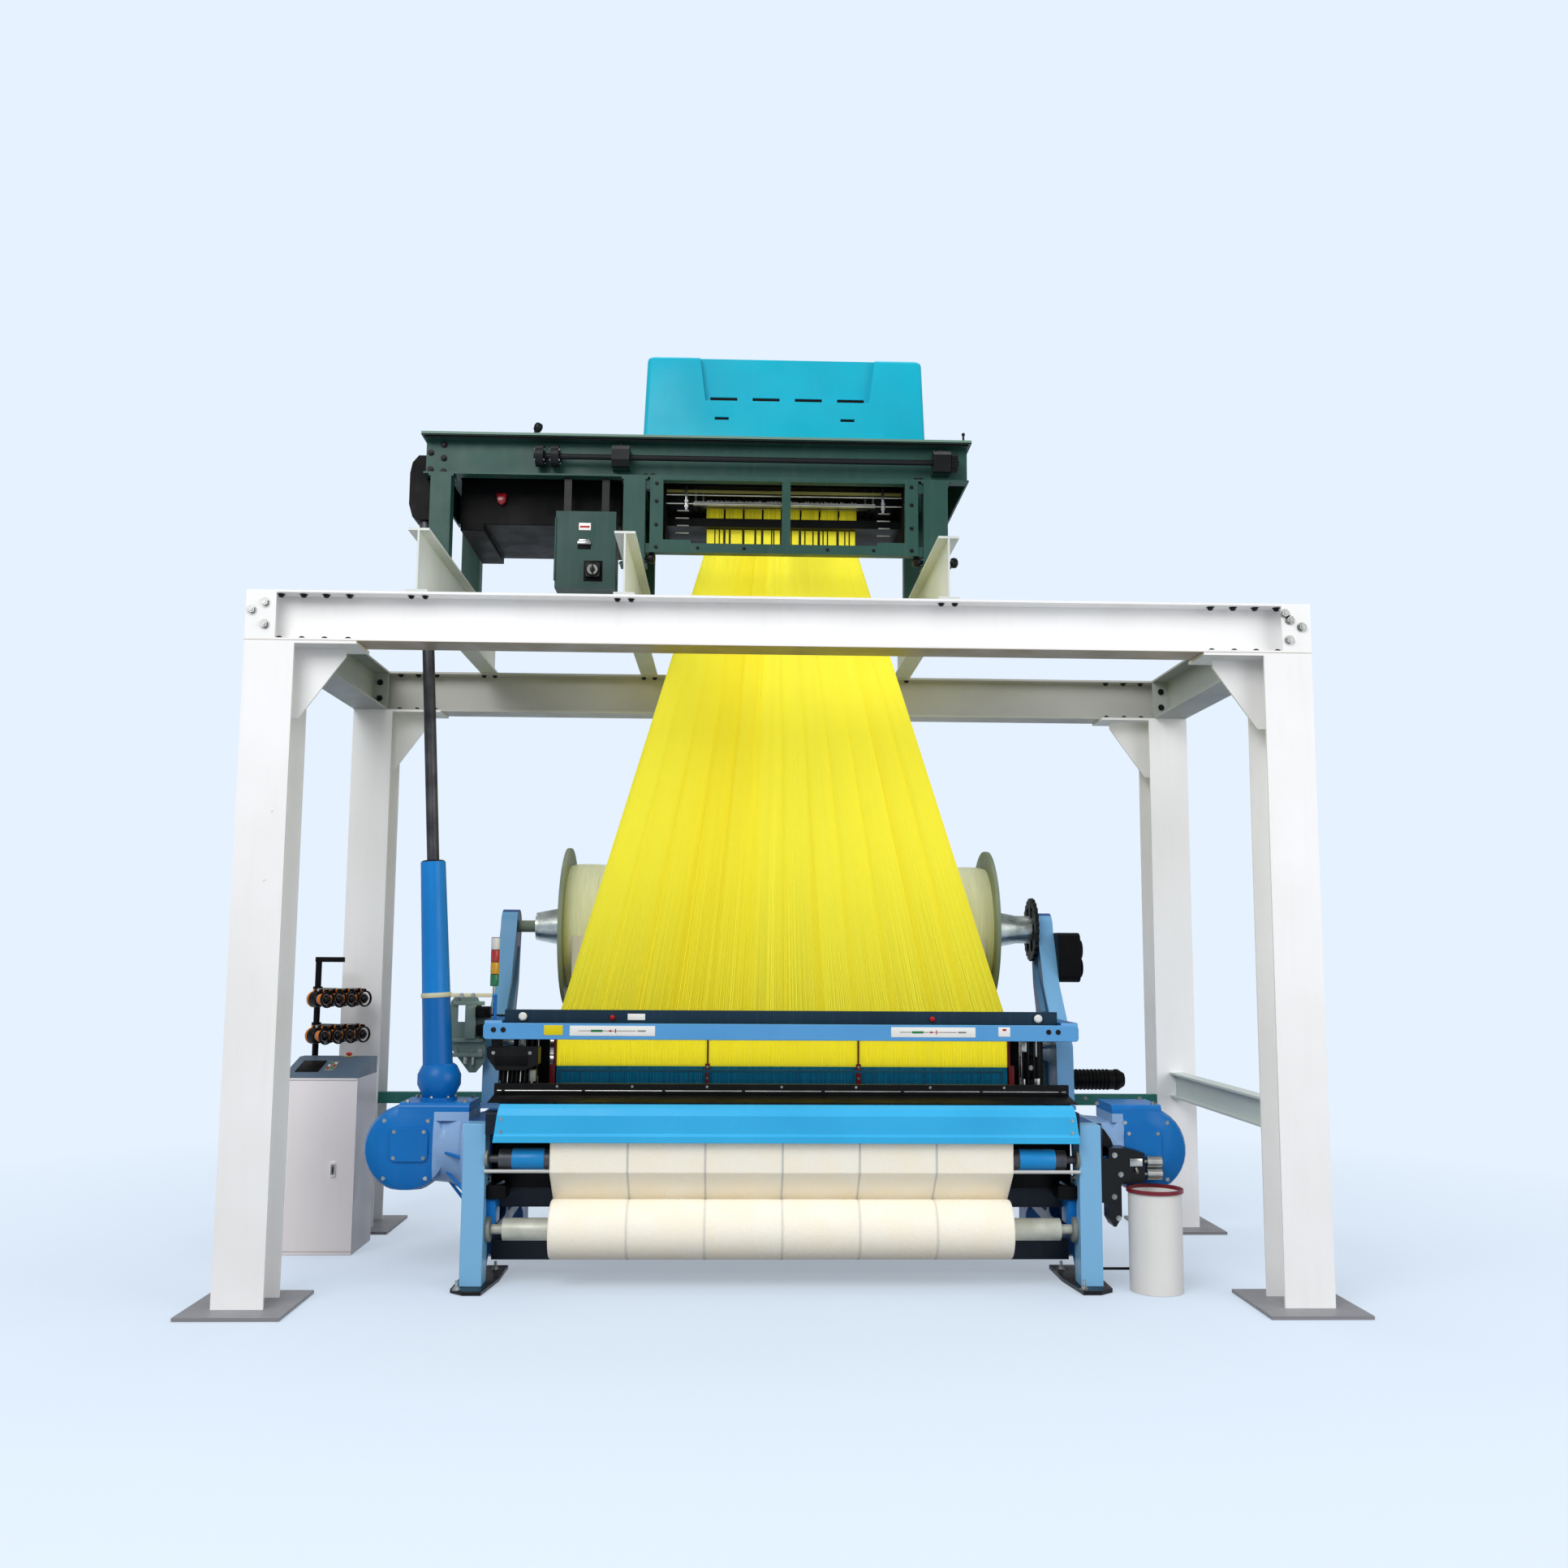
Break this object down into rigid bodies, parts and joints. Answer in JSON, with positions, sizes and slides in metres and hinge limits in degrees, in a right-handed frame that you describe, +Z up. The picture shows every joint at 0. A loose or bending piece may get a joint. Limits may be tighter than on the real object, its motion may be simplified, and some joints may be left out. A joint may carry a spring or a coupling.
{
  "type": "power loom",
  "caption": "Wide terry power loom with a jacquard head on a steel gantry, weaving towel widths side by side under a fan of harness cords.",
  "frame": {"origin": "on the floor, at the middle of the gantry's four base plates", "axes": "+X to the weaver's right along the reed, +Y away from the weaver, +Z up"},
  "size_m": [5.48, 2.54, 4.945],
  "materials": {
    "gantry_white": "semi-gloss paint",
    "joist_paint": "semi-gloss paint",
    "tie_green": "semi-gloss paint",
    "head_green": "semi-gloss paint",
    "cover_teal": "semi-gloss paint",
    "black_metal": "satin paint",
    "bright_steel": "brushed",
    "yellow_cord": "twisted cord",
    "heddle_teal": "fine cord and wire",
    "navy_bar": "semi-gloss paint",
    "loom_blue": "painted casting",
    "deep_blue": "painted casting",
    "guard_blue": "semi-gloss paint",
    "cover_blue": "semi-gloss paint",
    "tube_blue": "semi-gloss paint",
    "cloth": "terry towelling",
    "warp_yarn": "cotton yarn",
    "dark_steel": "ground",
    "sley_metal": "anodised",
    "box_green": "semi-gloss paint",
    "knob_black": "moulded",
    "cabinet_white": "semi-gloss paint",
    "red_plastic": "moulded",
    "feeder_black": "moulded",
    "can_white": "enamel",
    "lamp_stack": "translucent lens"
  },
  "bodies": {
    "frame": {"column_front_left": "gantry_white", "column_front_right": "gantry_white", "column_rear_left": "gantry_white", "column_rear_right": "gantry_white", "gantry_front_beam": "gantry_white", "gantry_rear_beam": "gantry_white", "gantry_side_beams": "gantry_white", "joists": "joist_paint", "tie_beams": "tie_green", "head_frame": "head_green", "head_cover": "cover_teal", "window_frame": "head_green", "hook_box": "black_metal", "head_gearbox": "black_metal", "control_box": "box_green", "harness_fan": "yellow_cord", "heddles": "heddle_teal", "comber_board": "navy_bar", "shaft_tube": "tube_blue", "side_frame_left": "loom_blue", "side_frame_right": "loom_blue", "cross_girders": "guard_blue", "breast_cover": "cover_blue", "front_guard_bar": "guard_blue", "gearbox_left": "deep_blue", "gearbox_right": "deep_blue", "pile_arms": "loom_blue", "weft_presenter": "black_metal", "signal_tower": "lamp_stack", "side_motors": "black_metal", "guide_rails": "bright_steel", "cloth_sheet": "cloth", "warp_sheet": "warp_yarn", "cabinet": "cabinet_white", "feeder_stand": "feeder_black", "waste_can": "can_white"},
    "upright_shaft": {"drive_shaft": "bright_steel"},
    "cross_shaft": {"line_shaft": "dark_steel"},
    "outer_griffe": {"griffe_outer": "bright_steel"},
    "inner_griffe": {"griffe_inner": "bright_steel"},
    "sley_and_reed": {"sley": "sley_metal", "reed": "bright_steel"},
    "left_rapier": {"rapier_left": "dark_steel"},
    "right_rapier": {"rapier_right": "dark_steel"},
    "cloth_beam": {"cloth_core": "dark_steel", "cloth_roll": "cloth"},
    "take_up": {"take_up_roller": "dark_steel"},
    "pile_warp_beam": {"pile_beam": "loom_blue", "pile_yarn": "warp_yarn"},
    "ground_warp_beam": {"ground_beam": "loom_blue"},
    "back_rest": {"back_rest_roller": "bright_steel"},
    "tension_roller": {"pile_tension_roller": "bright_steel"},
    "cabinet_leaf": {"cabinet_door": "cabinet_white"},
    "control_leaf": {"control_box_door": "box_green"},
    "isolator_grip": {"control_knob": "knob_black"},
    "emergency_stop": {"e_stop": "red_plastic"},
    "left_stop": {"stop_button_left": "red_plastic"},
    "right_stop": {"stop_button_right": "red_plastic"},
    "upper_waste_roller": {"waste_roller_upper": "bright_steel"},
    "lower_waste_roller": {"waste_roller_lower": "bright_steel"}
  },
  "joints": [
    {"name": "drive_spin", "type": "hinge", "parent": "frame", "child": "upright_shaft", "pos_m": [-1.82827, -0.35, 2], "axis": [-0.0569, 0, 0.9984], "continuous": true},
    {"name": "line_spin", "type": "hinge", "parent": "frame", "child": "cross_shaft", "pos_m": [0, -0.504, 4.318], "axis": [1, 0, 0], "continuous": true},
    {"name": "griffe_outer_lift", "type": "slide", "parent": "frame", "child": "outer_griffe", "axis": [0, 0, 1], "range_m": [-0.03, 0.03]},
    {"name": "griffe_inner_lift", "type": "slide", "parent": "frame", "child": "inner_griffe", "axis": [0, 0, 1], "range_m": [-0.03, 0.03]},
    {"name": "sley_beat", "type": "hinge", "parent": "frame", "child": "sley_and_reed", "pos_m": [0.03, -0.23, 0.17], "axis": [1, 0, 0], "range_deg": [0, 14]},
    {"name": "rapier_left_run", "type": "slide", "parent": "sley_and_reed", "child": "left_rapier", "axis": [1, 0, 0], "range_m": [0, 1.19]},
    {"name": "rapier_right_run", "type": "slide", "parent": "sley_and_reed", "child": "right_rapier", "axis": [1, 0, 0], "range_m": [-1.19, 0]},
    {"name": "cloth_roll_spin", "type": "hinge", "parent": "frame", "child": "cloth_beam", "pos_m": [0.03, -0.6, 0.28], "axis": [1, 0, 0], "continuous": true},
    {"name": "take_up_spin", "type": "hinge", "parent": "frame", "child": "take_up", "pos_m": [0.03, -0.6607, 0.632], "axis": [1, 0, 0], "continuous": true},
    {"name": "pile_beam_spin", "type": "hinge", "parent": "frame", "child": "pile_warp_beam", "pos_m": [0.03, 0.65, 1.81], "axis": [1, 0, 0], "continuous": true},
    {"name": "ground_beam_spin", "type": "hinge", "parent": "frame", "child": "ground_warp_beam", "pos_m": [0.03, 0.62, 0.42], "axis": [1, 0, 0], "continuous": true},
    {"name": "back_rest_spin", "type": "hinge", "parent": "frame", "child": "back_rest", "pos_m": [0.03, 0.85, 1.01], "axis": [1, 0, 0], "continuous": true},
    {"name": "tension_roller_spin", "type": "hinge", "parent": "frame", "child": "tension_roller", "pos_m": [0.03, 0.33, 1.14], "axis": [1, 0, 0], "continuous": true},
    {"name": "cabinet_door_hinge", "type": "hinge", "parent": "frame", "child": "cabinet_leaf", "pos_m": [-2.732, 0.144, 0.5], "axis": [0, 0, -1], "range_deg": [0, 110]},
    {"name": "control_door_hinge", "type": "hinge", "parent": "frame", "child": "control_leaf", "pos_m": [-1.216, -0.4763, 3.8], "axis": [0, 0, -1], "range_deg": [0, 110]},
    {"name": "isolator_turn", "type": "hinge", "parent": "control_leaf", "child": "isolator_grip", "pos_m": [-1.011, -0.49, 3.695], "axis": [0, 1, 0], "range_deg": [0, 90]},
    {"name": "emergency_stop_press", "type": "slide", "parent": "frame", "child": "emergency_stop", "axis": [0, 0, -1], "range_m": [0, 0.006], "stiffness_N_per_m": 1500, "springref_m": -0.002},
    {"name": "stop_left_press", "type": "slide", "parent": "frame", "child": "left_stop", "axis": [0, 1, 0], "range_m": [0, 0.004], "stiffness_N_per_m": 1500, "springref_m": -0.001},
    {"name": "stop_right_press", "type": "slide", "parent": "frame", "child": "right_stop", "axis": [0, 1, 0], "range_m": [0, 0.004], "stiffness_N_per_m": 1500, "springref_m": -0.001},
    {"name": "waste_upper_spin", "type": "hinge", "parent": "frame", "child": "upper_waste_roller", "pos_m": [1.92, -0.6, 0.615], "axis": [1, 0, 0], "continuous": true},
    {"name": "waste_lower_spin", "type": "hinge", "parent": "frame", "child": "lower_waste_roller", "pos_m": [1.92, -0.6, 0.5547], "axis": [1, 0, 0], "continuous": true}
  ],
  "couplings": [
    {"joint": "line_spin", "follows": "drive_spin", "ratio": 1},
    {"joint": "griffe_inner_lift", "follows": "griffe_outer_lift", "ratio": -1},
    {"joint": "rapier_right_run", "follows": "rapier_left_run", "ratio": -1},
    {"joint": "take_up_spin", "follows": "cloth_roll_spin", "ratio": -3.0208},
    {"joint": "waste_lower_spin", "follows": "waste_upper_spin", "ratio": -1}
  ]
}
